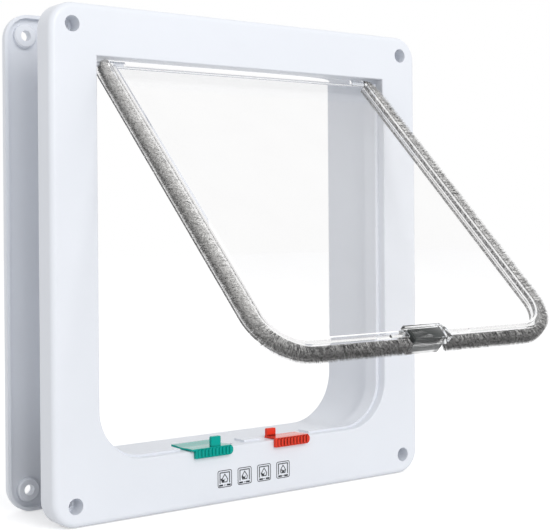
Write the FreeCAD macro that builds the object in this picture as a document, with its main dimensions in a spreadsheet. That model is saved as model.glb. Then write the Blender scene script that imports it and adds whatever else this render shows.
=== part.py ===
import FreeCAD, Part
import os
import re

import Sketcher
from FreeCAD import Vector, Placement, Rotation

# A cat flap for a house door. A white front frame and a white rear frame telescope
# through the door. A clear flap hangs from two plain pins at the top of the front
# frame and is shown swung open towards the viewer. Its edge carries grey brush pile,
# and a clear box at its foot holds a magnet. Two sliders in the sill, green and red,
# stop the flap from swinging out at the front or in at the back.
#
# Frame: origin midway between the four front screw holes, in the plane where the
# front frame's rim bears on the door. X is to the right seen from the front, Y goes
# through the door to the back, Z is up. All sizes are millimetres.

DOC = FreeCAD.newDocument("CatFlap")
SHEET = DOC.addObject("Spreadsheet::Sheet", "Sizes")

SIZES = [
    # both frames
    ("frame_w", 234, "width of both frames"),
    ("frame_h", 250, "height of both frames"),
    ("corner_r", 13, "outer corner radius"),
    ("side_margin", 25, "front flange beside the opening"),
    ("top_margin", 25, "front flange above the opening"),
    ("sill_margin", 29, "front flange below the opening"),
    ("open_r", 26, "lower corner radius of the opening"),
    ("screw_in_x", 11.7, "screw holes in from each side"),
    ("screw_in_z", 10.6, "screw holes in from top and bottom"),
    # front frame
    ("rim_depth", 13, "front face to the rim that bears on the door"),
    ("edge_r", 3, "rounding round the front face"),
    ("face_t", 3, "flange thickness"),
    ("skirt_t", 2.2, "skirt thickness"),
    ("lip_r", 0.8, "rounding at the front of the opening"),
    ("tunnel_t", 2, "tunnel wall"),
    ("tunnel_depth", 18, "front face to the tunnel's rear end"),
    ("stop_side", 2.3, "height of the draught ridge at the sides"),
    ("stop_sill", 1.1, "height of the draught ridge on the sill"),
    ("stop_front", 5.2, "front face to the draught ridge"),
    ("stop_back", 14, "front face to the end of the ridge"),
    ("stop_end", 4, "ridge's upper ends below the hinge axis"),
    ("screw_r", 2.3, "screw hole radius"),
    ("head_r", 3.9, "screw head recess radius"),
    ("head_depth", 8.5, "screw head recess depth"),
    ("boss_r", 6, "screw boss radius"),
    ("rib_t", 1.4, "stiffening rib thickness"),
    ("rib_depth", 5, "stiffening rib depth behind the flange"),
    ("rib_pitch", 62, "spacing of the side ribs"),
    ("sill_rib_x", 72, "sill and head ribs from the middle"),
    # rear frame
    ("door_gap", 35.4, "front rim to rear rim, as shown"),
    ("tray_depth", 5.1, "rear rim to rear face"),
    ("tray_wall", 1.7, "rear rim wall"),
    ("plate_t", 2.2, "rear plate thickness"),
    ("rear_edge_r", 2.6, "rounding round the rear face"),
    ("sleeve_gap", 0.6, "clearance of the sleeve round the tunnel"),
    ("sleeve_t", 2, "sleeve wall"),
    ("sleeve_lap", 3, "overlap of sleeve and tunnel, as shown"),
    ("rear_lip_r", 1.2, "rounding at the rear of the opening"),
    ("rear_boss_r", 6, "rear boss radius"),
    ("rear_boss_low", 0.3, "rear boss below the rear rim"),
    ("rear_boss_edge", 0.7, "chamfer on the rear boss"),
    ("rear_hole_r", 2.7, "rear screw hole radius"),
    # hinge
    ("hinge_drop", 3, "hinge axis below the top of the opening"),
    ("hinge_set", 7, "hinge axis behind the front face"),
    ("open_angle", 46.2, "flap as shown, from hanging"),
    ("bar_r", 2.4, "hinge bar radius"),
    ("pin_wall", 0.3, "clearance of the pile round the pin"),
    ("pin_r", 1.25, "hinge pin radius"),
    ("pin_fit", 0.05, "running clearance round the pin"),
    ("pin_in", 8, "pin inside the bar"),
    ("bore_spare", 1, "bore past the pin's end"),
    # flap
    ("pile_gap", 4, "pile to the side of the opening"),
    ("sill_gap", 1.7, "pile to the sill"),
    ("flap_r", 23, "outer corner radius of the pile"),
    ("pile_proud", 3.5, "pile proud of the channel's front lip"),
    ("pile_t", 5, "pile thickness"),
    ("pile_rise", 1, "pile's top end above the hinge axis"),
    ("channel_w", 3.4, "channel's front lip seen from the front"),
    ("channel_t", 7, "channel rim through the flap"),
    ("groove_deep", 2.3, "pile groove depth"),
    ("panel_t", 1.8, "flap panel thickness"),
    ("rim_drop", 3, "channel rim's top end below the hinge axis"),
    ("lip_over", 0.9, "channel's rear lip past the pile at the sides"),
    # magnet box on the flap
    ("box_off", -0.6, "box centre from the flap's middle"),
    ("box_w", 22.6, "box width"),
    ("box_h", 9.9, "box height"),
    ("box_t", 10, "box thickness"),
    ("box_face", 5.7, "height of its flat faces"),
    ("box_top_t", 6.4, "box thickness at its top"),
    ("box_wall", 1.1, "box wall"),
    ("box_lap", 1.4, "box over the panel's cut edge"),
    ("box_fit", 0.1, "clearance of the box round the panel"),
    ("mag_w", 17.8, "flap magnet length"),
    ("mag_h", 5.4, "flap magnet height"),
    ("mag_t", 7.6, "flap magnet thickness"),
    ("mag_off", -1, "flap magnet from the box's centre"),
    ("notch_w", 3, "corner notch where the red tab engages"),
    # sliders
    ("green_x", -26.9, "green slider from the middle, as shown"),
    ("red_x", 23.7, "red slider from the middle, as shown"),
    ("grip_w", 22.9, "grip length"),
    ("grip_down", 3.6, "grip below the sill"),
    ("grip_up", 1.4, "grip above the sill"),
    ("grip_t", 2, "grip thickness"),
    ("grip_gap", 0.2, "grip to the front face"),
    ("grip_r", 2.3, "rounding of the grip's right end"),
    ("grip_rib_r", 0.65, "grip rib radius"),
    ("grip_rib_n", 10, "number of grip ribs"),
    ("grip_rib_end", 1.8, "first and last rib from the grip's ends"),
    ("band_w", 20.5, "slide plate length"),
    ("band_t", 1, "slide plate thickness"),
    ("band_dip", 1.1, "slide plate's top in its dip"),
    ("green_deep", 17.6, "green slide plate depth"),
    ("green_more", 3.4, "green slide plate longer to the left"),
    ("red_deep", 9.6, "red slide plate depth"),
    ("wave_start", 2.6, "where the slide plate starts to dip"),
    ("wave_run", 3, "length of each slope of the plate"),
    ("wave_flat", 5.2, "length of the plate's dip"),
    ("tab_w", 5.8, "tab width"),
    ("tab_t", 1.8, "tab thickness"),
    ("tab_top", 6.6, "green tab above the sill"),
    ("red_tab_low", 1.4, "red tab lower than the green one"),
    ("tab_r", 0.8, "rounding of the tab's top corners"),
    ("green_tab_x", 1.2, "green tab from its grip's middle"),
    ("green_tab_back", 0.3, "green tab's back behind the front face"),
    ("red_tab_x", -7.3, "red tab from its grip's middle"),
    ("red_tab_back", 9.2, "red tab's back behind the front face"),
    ("green_left", 2, "green slider's travel to the left"),
    ("green_right", 13, "green slider's travel to the right"),
    ("red_left", 5.4, "red slider's travel to the left"),
    ("red_right", 6, "red slider's travel to the right"),
    ("ridge_end", 0.4, "spare length at each end of a gap in the sill ridge"),
    ("foot_w", 7, "slider foot length"),
    ("tab_room", 0.35, "clearance of the flap's rim over a tab"),
    ("neck_front", 5.4, "front of the slider's neck behind the face"),
    ("neck_t", 2.4, "neck thickness"),
    ("foot_out", 1.2, "foot wider than its neck on each side"),
    ("foot_t", 1, "foot thickness"),
    ("foot_gap", 0.25, "foot and neck clearance"),
    # magnet under the sill
    ("pocket_w", 17.4, "magnet pocket outside width"),
    ("pocket_deep", 9.2, "front face to the back of the pocket"),
    ("pocket_wall", 1.2, "magnet pocket wall"),
    ("keeper_h", 5, "frame magnet height"),
    ("cover_t", 1.3, "pocket cover thickness"),
]

for row, (alias, value, note) in enumerate(SIZES, start=1):
    SHEET.set("A%d" % row, str(value))
    SHEET.setAlias("A%d" % row, alias)
    SHEET.set("B%d" % row, note)
DOC.recompute()

# Words that a sheet expression may hold besides the names above.
FUNCTIONS = ("tan", "sin", "cos", "sqrt", "min", "max")


def expression(text):
    """The same sum with each size's name pointed at the sheet."""
    def point(found):
        word = found.group(0)
        return word if word in FUNCTIONS else "Sizes." + word
    return re.sub(r"\b[a-z][a-z_]*\b", point, str(text))


def number(text):
    return float(SHEET.evalExpression(expression(text)))


def bind(item, path, text):
    item.setExpression(path, expression(text))


# Sums that several pieces share, written with the names above.
OPEN_X = "(frame_w/2 - side_margin)"
OPEN_TOP = "(frame_h/2 - top_margin)"
SILL = "(-frame_h/2 + sill_margin)"
SCREW_X = "(frame_w/2 - screw_in_x)"
SCREW_Z = "(frame_h/2 - screw_in_z)"
HINGE_Z = "(frame_h/2 - top_margin - hinge_drop)"
HINGE_Y = "(hinge_set - rim_depth)"
SLEEVE_GROW = "(tunnel_t + sleeve_gap)"
FLAP_X = "(frame_w/2 - side_margin - pile_gap)"
FLAP_FOOT = "(-(frame_h - top_margin - sill_margin - hinge_drop - sill_gap))"
RIM_X = "(frame_w/2 - side_margin - pile_gap - pile_proud)"
RIM_FOOT = "(%s + pile_proud)" % FLAP_FOOT
BOX_L = "(box_off - box_w/2)"
BOX_R = "(box_off + box_w/2)"
BOX_TOP = "(%s + box_h)" % FLAP_FOOT
CUT_EDGE = "(%s - box_lap)" % BOX_TOP
GREEN_TAB = "(green_x + green_tab_x)"
RED_TAB = "(red_x + red_tab_x)"
PILE_SEAT = "(%s - groove_deep)" % RIM_X
TAB_LINE = "(%s - sill_gap + tab_top + tab_room)" % FLAP_FOOT


def body_named(name, base=("0", "0", "0"), tilt="0"):
    """A body at a place worked out from the sheet, tipped about X."""
    body = DOC.addObject("PartDesign::Body", name)
    body.Label = name
    body.Placement = Placement(Vector(0, 0, 0), Rotation(Vector(1, 0, 0), 0))
    for axis, text in zip("xyz", base):
        bind(body, "Placement.Base." + axis, text)
    body.Placement.Rotation = Rotation(Vector(1, 0, 0), 30)
    bind(body, "Placement.Rotation.Angle", tilt)
    return body


def origin_part(body, role):
    return [part for part in body.Origin.OriginFeatures if part.Role == role][0]


def sketch_on(body, name, role="XY_Plane", lift="0"):
    """A sketch on one of the body's own planes, lifted along its normal."""
    sketch = body.newObject("Sketcher::SketchObject", name)
    sketch.AttachmentSupport = [(origin_part(body, role), "")]
    sketch.MapMode = "FlatFace"
    bind(sketch, "AttachmentOffset.Base.z", lift)
    return sketch


def dimension(sketch, kind, geometry, point, text):
    """Hold one coordinate of a point at a sum of sheet sizes."""
    value = number(text)
    if value >= 0:
        rule = Sketcher.Constraint(kind, -1, 1, geometry, point, value)
        held = text
    else:
        rule = Sketcher.Constraint(kind, geometry, point, -1, 1, -value)
        held = "-(%s)" % text
    index = sketch.addConstraint(rule)
    bind(sketch, "Constraints[%d]" % index, held)


def outline(sketch, corners):
    """A closed loop of level and upright lines; each corner is (x, y, radius)."""
    spots = [Vector(number(x), number(y), 0) for x, y, r in corners]
    radii = [number(r) for x, y, r in corners]
    count = len(corners)
    ways = []
    for i in range(count):
        step = spots[(i + 1) % count] - spots[i]
        ways.append(step.normalize())
    lines = []
    for i in range(count):
        start = spots[i] + ways[i] * radii[i]
        end = spots[(i + 1) % count] - ways[i] * radii[(i + 1) % count]
        lines.append(sketch.addGeometry(Part.LineSegment(start, end), False))
    for i in range(count):
        level = abs(ways[i].y) < 0.5
        sketch.addConstraint(Sketcher.Constraint("Horizontal" if level else "Vertical", lines[i]))
        x, y, r = corners[i]
        if level:
            dimension(sketch, "DistanceY", lines[i], 1, y)
        else:
            dimension(sketch, "DistanceX", lines[i], 1, x)
    for i in range(count):
        join_corner(sketch, lines[i - 1], lines[i], spots[i], ways[i - 1], ways[i], radii[i], corners[i][2])


def join_corner(sketch, line_in, line_out, spot, way_in, way_out, radius, radius_text):
    """Meet two lines at a corner, sharp or with a tangent arc."""
    if radius == 0:
        sketch.addConstraint(Sketcher.Constraint("Coincident", line_in, 2, line_out, 1))
        return
    left_turn = way_in.cross(way_out).z > 0
    centre = spot + (way_out - way_in) * radius
    first = spot - way_in * radius - centre
    last = spot + way_out * radius - centre
    if not left_turn:
        first, last = last, first
    angle = Vector(1, 0, 0).getAngle(first)
    if first.y < -1e-9:
        angle = -angle
    quarter = first.getAngle(last)
    circle = Part.Circle(centre, Vector(0, 0, 1), radius)
    arc = sketch.addGeometry(Part.ArcOfCircle(circle, angle, angle + quarter), False)
    near, far = (1, 2) if left_turn else (2, 1)
    sketch.addConstraint(Sketcher.Constraint("Tangent", line_in, 2, arc, near))
    sketch.addConstraint(Sketcher.Constraint("Tangent", arc, far, line_out, 1))
    index = sketch.addConstraint(Sketcher.Constraint("Radius", arc, radius))
    bind(sketch, "Constraints[%d]" % index, radius_text)


def polygon(sketch, points):
    """A closed loop of straight lines with every corner placed."""
    spots = [Vector(number(x), number(y), 0) for x, y in points]
    lines = []
    for i in range(len(spots)):
        lines.append(sketch.addGeometry(Part.LineSegment(spots[i], spots[(i + 1) % len(spots)]), False))
    for i in range(len(spots)):
        sketch.addConstraint(Sketcher.Constraint("Coincident", lines[i - 1], 2, lines[i], 1))
        dimension(sketch, "DistanceX", lines[i], 1, points[i][0])
        dimension(sketch, "DistanceY", lines[i], 1, points[i][1])


def circle(sketch, x, y, radius):
    spot = Vector(number(x), number(y), 0)
    ring = sketch.addGeometry(Part.Circle(spot, Vector(0, 0, 1), number(radius)), False)
    index = sketch.addConstraint(Sketcher.Constraint("Radius", ring, number(radius)))
    bind(sketch, "Constraints[%d]" % index, radius)
    dimension(sketch, "DistanceX", ring, 3, x)
    dimension(sketch, "DistanceY", ring, 3, y)


def pad(body, sketch, name, length, both=False, back=False):
    """Add the sketch's shape along its normal, or half each way."""
    feature = body.newObject("PartDesign::Pad", name)
    feature.Profile = sketch
    bind(feature, "Length", length)
    feature.SideType = "Symmetric" if both else "One side"
    feature.Reversed = back
    DOC.recompute()
    return feature


def pocket(body, sketch, name, length, both=False, back=False):
    """Cut the sketch's shape against its normal, and make sure that it cuts."""
    before = body.Shape.Volume
    feature = body.newObject("PartDesign::Pocket", name)
    feature.Profile = sketch
    bind(feature, "Length", length)
    feature.SideType = "Symmetric" if both else "One side"
    feature.Reversed = back
    DOC.recompute()
    if body.Shape.Volume >= before - 0.01:
        raise RuntimeError(name + " cuts nothing")
    return feature


def edges_where(feature, test):
    """Names of the feature's edges whose every vertex passes the test."""
    names = []
    for index, edge in enumerate(feature.Shape.Edges, start=1):
        if all(test(vertex.Point) for vertex in edge.Vertexes):
            names.append("Edge%d" % index)
    return names


def fillet(body, base, name, edges, radius):
    feature = body.newObject("PartDesign::Fillet", name)
    feature.Base = (base, edges)
    bind(feature, "Radius", radius)
    DOC.recompute()
    return feature


def chamfer(body, base, name, edges, size):
    feature = body.newObject("PartDesign::Chamfer", name)
    feature.Base = (base, edges)
    bind(feature, "Size", size)
    DOC.recompute()
    return feature


def rectangle(left, low, right, high, radius="0"):
    return [(left, low, radius), (right, low, radius), (right, high, radius), (left, high, radius)]


def grown(text, more):
    return "(%s + %s)" % (text, more)


def opening(side, foot, head, radius):
    """The opening's outline: square above, round below."""
    return [("-" + side, foot, radius), (side, foot, radius), (side, head, "0"), ("-" + side, head, "0")]


def near(value, target):
    return abs(value - target) < 0.02


# Both frames are drawn lying on their backs: sketch Z points out of the door at the
# front, and a quarter turn about X stands them up.

def frame_blank(body, bottom, height):
    """The rounded oblong that each frame starts from."""
    sketch = sketch_on(body, "frame_outline", lift=bottom)
    outline(sketch, rectangle("-frame_w/2", "-frame_h/2", "frame_w/2", "frame_h/2", "corner_r"))
    return pad(body, sketch, "frame_block", height)


def make_front_frame():
    body = body_named("front_frame", tilt="90")
    block = frame_blank(body, "0", "rim_depth")
    top = number("rim_depth")
    edges = edges_where(block, lambda p: near(p.z, top))
    fillet(body, block, "face_rounding", edges, "edge_r")

    sketch = sketch_on(body, "back_hollow")
    inner = ("frame_w/2 - skirt_t", "frame_h/2 - skirt_t", "corner_r - skirt_t")
    outline(sketch, rectangle("-(%s)" % inner[0], "-(%s)" % inner[1], inner[0], inner[1], inner[2]))
    pocket(body, sketch, "hollow", "rim_depth - face_t", back=True)

    add_tunnel(body)
    add_screw_bosses(body)
    add_ribs(body)
    add_magnet_pocket(body)
    cut_opening(body)
    cut_slider_ways(body)
    cut_front_holes(body)
    return body


def add_tunnel(body):
    sketch = sketch_on(body, "tunnel_outline", lift="rim_depth - tunnel_depth")
    outline(sketch, opening(grown(OPEN_X, "tunnel_t"), grown(SILL, "-tunnel_t"), grown(OPEN_TOP, "tunnel_t"),
                            "open_r + tunnel_t"))
    pad(body, sketch, "tunnel", "tunnel_depth - face_t/2")


def add_screw_bosses(body):
    sketch = sketch_on(body, "screw_boss_rings")
    for x in ("-" + SCREW_X, SCREW_X):
        for z in ("-" + SCREW_Z, SCREW_Z):
            circle(sketch, x, z, "boss_r")
    pad(body, sketch, "screw_bosses", "rim_depth - face_t/2")


def add_ribs(body):
    """Stiffening ribs between the tunnel and the skirt."""
    sketch = sketch_on(body, "rib_lines", lift="rim_depth - face_t - rib_depth")
    half = "rib_t/2"
    wall = grown(OPEN_X, "tunnel_t/2")
    skirt = "(frame_w/2 - skirt_t/2)"
    for level in ("-rib_pitch", "0", "rib_pitch"):
        low, high = "(%s - %s)" % (level, half), "(%s + %s)" % (level, half)
        outline(sketch, rectangle("-" + skirt, low, "-" + wall, high))
        outline(sketch, rectangle(wall, low, skirt, high))
    for across in ("-sill_rib_x", "sill_rib_x"):
        left, right = "(%s - %s)" % (across, half), "(%s + %s)" % (across, half)
        outline(sketch, rectangle(left, "(-frame_h/2 + skirt_t/2)", right, grown(SILL, "-tunnel_t/2")))
        outline(sketch, rectangle(left, grown(OPEN_TOP, "tunnel_t/2"), right, "(frame_h/2 - skirt_t/2)"))
    pad(body, sketch, "ribs", "rib_depth + face_t/2")


def add_magnet_pocket(body):
    """A block under the sill, hollow from below, that holds the frame magnet."""
    low = "(%s - tunnel_t - pocket_wall/4 - keeper_h - cover_t)" % SILL
    sketch = sketch_on(body, "pocket_block", lift="rim_depth - pocket_deep")
    outline(sketch, rectangle("(box_off - pocket_w/2)", low, "(box_off + pocket_w/2)", grown(SILL, "-tunnel_t/2")))
    pad(body, sketch, "magnet_block", "pocket_deep - face_t/2")
    sketch = sketch_on(body, "pocket_hollow", lift="rim_depth - pocket_deep + pocket_wall")
    outline(sketch, rectangle("(box_off - pocket_w/2 + pocket_wall)", grown(low, "-1"),
                              "(box_off + pocket_w/2 - pocket_wall)", "(%s - tunnel_t - pocket_wall/4)" % SILL))
    pocket(body, sketch, "magnet_hollow", "pocket_deep - pocket_wall - face_t", back=True)


def cut_opening(body):
    """The way through, with the draught ridge left standing round the sides and sill."""
    sketch = sketch_on(body, "ridge_outline", lift="rim_depth - tunnel_depth - 1")
    outline(sketch, opening(grown(OPEN_X, "-stop_side"), grown(SILL, "stop_sill"), OPEN_TOP, "open_r - stop_side"))
    pocket(body, sketch, "way_through", "tunnel_depth + 2", back=True)
    sketch = sketch_on(body, "front_opening", lift="rim_depth")
    outline(sketch, opening(OPEN_X, SILL, OPEN_TOP, "open_r"))
    pocket(body, sketch, "front_step", "stop_front")
    sketch = sketch_on(body, "rear_opening", lift="rim_depth - tunnel_depth")
    outline(sketch, opening(OPEN_X, SILL, OPEN_TOP, "open_r"))
    step = pocket(body, sketch, "rear_step", "tunnel_depth - stop_back", back=True)
    face, side, head, foot = number("rim_depth"), number(OPEN_X), number(OPEN_TOP), number(SILL)
    edges = edges_where(step, lambda p: near(p.z, face) and abs(p.x) < side + 0.1
                        and foot - 0.1 < p.y < head + 0.1)
    fillet(body, step, "opening_rounding", edges, "lip_r")
    sketch = sketch_on(body, "hinge_room", lift="rim_depth - stop_back")
    outline(sketch, rectangle("-" + OPEN_X, "(%s - stop_end)" % HINGE_Z, OPEN_X, OPEN_TOP))
    pocket(body, sketch, "hinge_clearance", "stop_back - stop_front", back=True)


def cut_slider_ways(body):
    """A gap in the sill's ridge for each slider plate and a slot for its foot."""
    sketch = sketch_on(body, "ridge_gaps", lift="rim_depth - stop_front + ridge_end")
    above = grown(SILL, "stop_sill + 1")
    for middle, more, left, right in (("green_x", "green_more", "green_left", "green_right"),
                                      ("red_x", "0", "red_left", "red_right")):
        half = "(band_w/2 + ridge_end)"
        outline(sketch, rectangle("(%s - %s - %s - %s)" % (middle, half, more, left), SILL,
                                  "(%s + %s + %s)" % (middle, half, right), above))
    pocket(body, sketch, "ridge_ways", "stop_back - stop_front + 2*ridge_end")
    sketch = sketch_on(body, "slider_slots", lift="rim_depth - neck_front + foot_gap")
    for middle, left, right in (("green_x", "green_left", "green_right"), ("red_x", "red_left", "red_right")):
        outline(sketch, rectangle("(%s - foot_w/2 - %s - foot_gap)" % (middle, left), grown(SILL, "-tunnel_t - 1"),
                                  "(%s + foot_w/2 + %s + foot_gap)" % (middle, right), above))
    pocket(body, sketch, "slots", "neck_t + 2*foot_gap")


def cut_front_holes(body):
    """Screw holes with deep head recesses, and the two hinge pin holes."""
    sketch = sketch_on(body, "head_recesses", lift="rim_depth")
    for x in ("-" + SCREW_X, SCREW_X):
        for z in ("-" + SCREW_Z, SCREW_Z):
            circle(sketch, x, z, "head_r")
    pocket(body, sketch, "screw_heads", "head_depth")
    sketch = sketch_on(body, "screw_holes")
    for x in ("-" + SCREW_X, SCREW_X):
        for z in ("-" + SCREW_Z, SCREW_Z):
            circle(sketch, x, z, "screw_r")
    pocket(body, sketch, "screw_ways", "rim_depth", back=True)
    sketch = sketch_on(body, "pin_holes", "YZ_Plane")
    circle(sketch, HINGE_Z, "rim_depth - hinge_set", "pin_r")
    pocket(body, sketch, "hinge_holes", "2*%s + 4*tunnel_t" % OPEN_X, both=True)


def make_rear_frame():
    body = body_named("rear_frame", base=("0", "door_gap", "0"), tilt="90")
    block = frame_blank(body, "-tray_depth", "tray_depth")
    back = number("-tray_depth")
    edges = edges_where(block, lambda p: near(p.z, back))
    fillet(body, block, "face_rounding", edges, "rear_edge_r")

    sketch = sketch_on(body, "tray_hollow")
    inner = ("frame_w/2 - tray_wall", "frame_h/2 - tray_wall", "corner_r - tray_wall")
    outline(sketch, rectangle("-(%s)" % inner[0], "-(%s)" % inner[1], inner[0], inner[1], inner[2]))
    pocket(body, sketch, "tray", "tray_depth - plate_t")

    sketch = sketch_on(body, "sleeve_outline", lift="-tray_depth + plate_t/2")
    more = "(%s + sleeve_t)" % SLEEVE_GROW
    outline(sketch, opening(grown(OPEN_X, more), grown(SILL, "-" + more), grown(OPEN_TOP, more), "open_r + " + more))
    reach = "(door_gap + rim_depth - tunnel_depth + sleeve_lap)"
    pad(body, sketch, "sleeve", "%s + tray_depth - plate_t/2" % reach)

    sketch = sketch_on(body, "rear_boss_rings", lift="-tray_depth + plate_t/2")
    for x in ("-" + SCREW_X, SCREW_X):
        for z in ("-" + SCREW_Z, SCREW_Z):
            circle(sketch, x, z, "rear_boss_r")
    bosses = pad(body, sketch, "rear_bosses", "tray_depth - plate_t/2 - rear_boss_low")
    brow = number("-rear_boss_low")
    edges = edges_where(bosses, lambda p: near(p.z, brow))
    chamfer(body, bosses, "boss_chamfers", edges, "rear_boss_edge")

    sketch = sketch_on(body, "sleeve_way", lift="-tray_depth - 1")
    more = SLEEVE_GROW
    outline(sketch, opening(grown(OPEN_X, more), grown(SILL, "-" + more), grown(OPEN_TOP, more), "open_r + " + more))
    way = pocket(body, sketch, "way_through", "%s + tray_depth + 2" % reach, back=True)
    side, head, foot = number(grown(OPEN_X, more)), number(grown(OPEN_TOP, more)), number(grown(SILL, "-" + more))
    edges = edges_where(way, lambda p: near(p.z, back) and abs(p.x) < side + 0.1
                        and foot - 0.1 < p.y < head + 0.1)
    fillet(body, way, "opening_rounding", edges, "rear_lip_r")

    sketch = sketch_on(body, "rear_screw_holes", lift="-tray_depth - 1")
    for x in ("-" + SCREW_X, SCREW_X):
        for z in ("-" + SCREW_Z, SCREW_Z):
            circle(sketch, x, z, "rear_hole_r")
    pocket(body, sketch, "screw_ways", "tray_depth + 2", back=True)
    return body


# The flap and what it carries are drawn hanging flat in the sketch plane, hinge axis
# through the origin and foot towards -Y, and swung out together by their placement.

def flap_body(name):
    return body_named(name, base=("0", HINGE_Y, HINGE_Z), tilt="90 - open_angle")


def edge_band(head, outer, inner):
    """A U of constant width: two sides and a foot, open at the top."""
    (far_x, far_y, far_r), (near_x, near_y, near_r) = outer, inner
    return [("-" + far_x, far_y, far_r), (far_x, far_y, far_r), (far_x, head, "0"), (near_x, head, "0"),
            (near_x, near_y, near_r), ("-" + near_x, near_y, near_r), ("-" + near_x, head, "0"),
            ("-" + far_x, head, "0")]


def rim_line(inward):
    """The channel's outer line, moved inward by a sum."""
    return ("(%s - %s)" % (RIM_X, inward), "(%s + %s)" % (RIM_FOOT, inward), "(flap_r - pile_proud - %s)" % inward)


def make_flap_panel():
    body = flap_body("flap_panel")
    sketch = sketch_on(body, "bar_section", "YZ_Plane")
    circle(sketch, "0", "0", "bar_r")
    pad(body, sketch, "hinge_bar", "2*" + PILE_SEAT, both=True)

    sketch = sketch_on(body, "panel_outline")
    side, foot, radius = rim_line("channel_w/2")
    outline(sketch, [("-" + side, foot, radius), (side, foot, radius), (side, "0", "0"), ("-" + side, "0", "0")])
    pad(body, sketch, "panel", "panel_t", both=True)

    sketch = sketch_on(body, "channel_outline")
    outline(sketch, edge_band("-rim_drop", rim_line("0"), rim_line("channel_w")))
    pad(body, sketch, "channel", "channel_t", both=True)
    sketch = sketch_on(body, "rear_lip_outline", lift="-channel_t/2")
    lip = ("(%s + lip_over)" % FLAP_X, FLAP_FOOT, "(flap_r + 2*lip_over)")
    outline(sketch, edge_band("-rim_drop", lip, rim_line("channel_w/2")))
    pad(body, sketch, "rear_lip", "(channel_t - pile_t)/2")

    sketch = sketch_on(body, "groove_outline")
    outer = ("(%s + 1)" % RIM_X, "(%s - 1)" % RIM_FOOT, "(flap_r - pile_proud + 1)")
    outline(sketch, edge_band("1", outer, rim_line("groove_deep")))
    pocket(body, sketch, "pile_groove", "pile_t", both=True)
    notch_for_tabs(body)
    seat_magnet_box(body)
    bore_hinge_bar(body)
    return body


def notch_for_tabs(body):
    """Cut the rim's foot away where it passes over a slider's tab."""
    half = "(tab_w/2 + tab_room)"
    sketch = sketch_on(body, "tab_notches")
    for left, right in (("(%s - %s - green_left)" % (GREEN_TAB, half), "(%s + %s)" % (GREEN_TAB, half)),
                        (grown(BOX_R, "-1"), "(%s + %s + red_right)" % (RED_TAB, half))):
        outline(sketch, rectangle(left, grown(FLAP_FOOT, "-1"), right, TAB_LINE))
    pocket(body, sketch, "tab_ways", "channel_t + 2", both=True)


def seat_magnet_box(body):
    """Cut the rim down to the bare panel under the magnet box, and make room for its magnet."""
    for name, lift, back in (("front_seat", "panel_t/2", True), ("rear_seat", "-panel_t/2", False)):
        sketch = sketch_on(body, name + "_outline", lift=lift)
        outline(sketch, rectangle(BOX_L, grown(FLAP_FOOT, "-1"), BOX_R, BOX_TOP))
        pocket(body, sketch, name, "channel_t", back=back)
    sketch = sketch_on(body, "box_gap_outline")
    outline(sketch, rectangle(BOX_L, grown(FLAP_FOOT, "-1"), BOX_R, CUT_EDGE))
    pocket(body, sketch, "box_gap", "channel_t", both=True)


def bore_hinge_bar(body):
    """A blind bore in each end of the bar for its pin."""
    depth = "(pin_in + bore_spare)"
    for name, lift, back in (("bore_right", PILE_SEAT, False), ("bore_left", "-" + PILE_SEAT, True)):
        sketch = sketch_on(body, name + "_ring", "YZ_Plane", lift=lift)
        circle(sketch, "0", "0", "pin_r + pin_fit")
        pocket(body, sketch, name, depth, back=back)


def make_pile(name, side):
    """One length of brush pile: down a side, round the corner and in to the box."""
    body = flap_body(name)
    sketch = sketch_on(body, "pile_outline")
    seat_x, seat_y, seat_r = rim_line("groove_deep")
    box_side = BOX_L if side == "-" else BOX_R
    outline(sketch, [(side + FLAP_X, "pile_rise", "0"), (side + FLAP_X, FLAP_FOOT, "flap_r"),
                     (box_side, FLAP_FOOT, "0"), (box_side, seat_y, "0"),
                     (side + seat_x, seat_y, seat_r), (side + seat_x, "pile_rise", "0")])
    pad(body, sketch, "pile", "pile_t", both=True)
    tab = GREEN_TAB if side == "-" else RED_TAB
    sketch = sketch_on(body, "parting_outline")
    outline(sketch, rectangle("(%s - tab_w/2 - grip_t/2)" % tab, grown(FLAP_FOOT, "-1"),
                              "(%s + tab_w/2 + grip_t/2)" % tab, TAB_LINE))
    pocket(body, sketch, "parting", "pile_t + 2", both=True)
    sketch = sketch_on(body, "pin_ring", "YZ_Plane")
    circle(sketch, "0", "0", "pin_r + pin_wall")
    pocket(body, sketch, "pin_way", "2*%s + 2" % FLAP_X, both=True)
    return body


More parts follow.
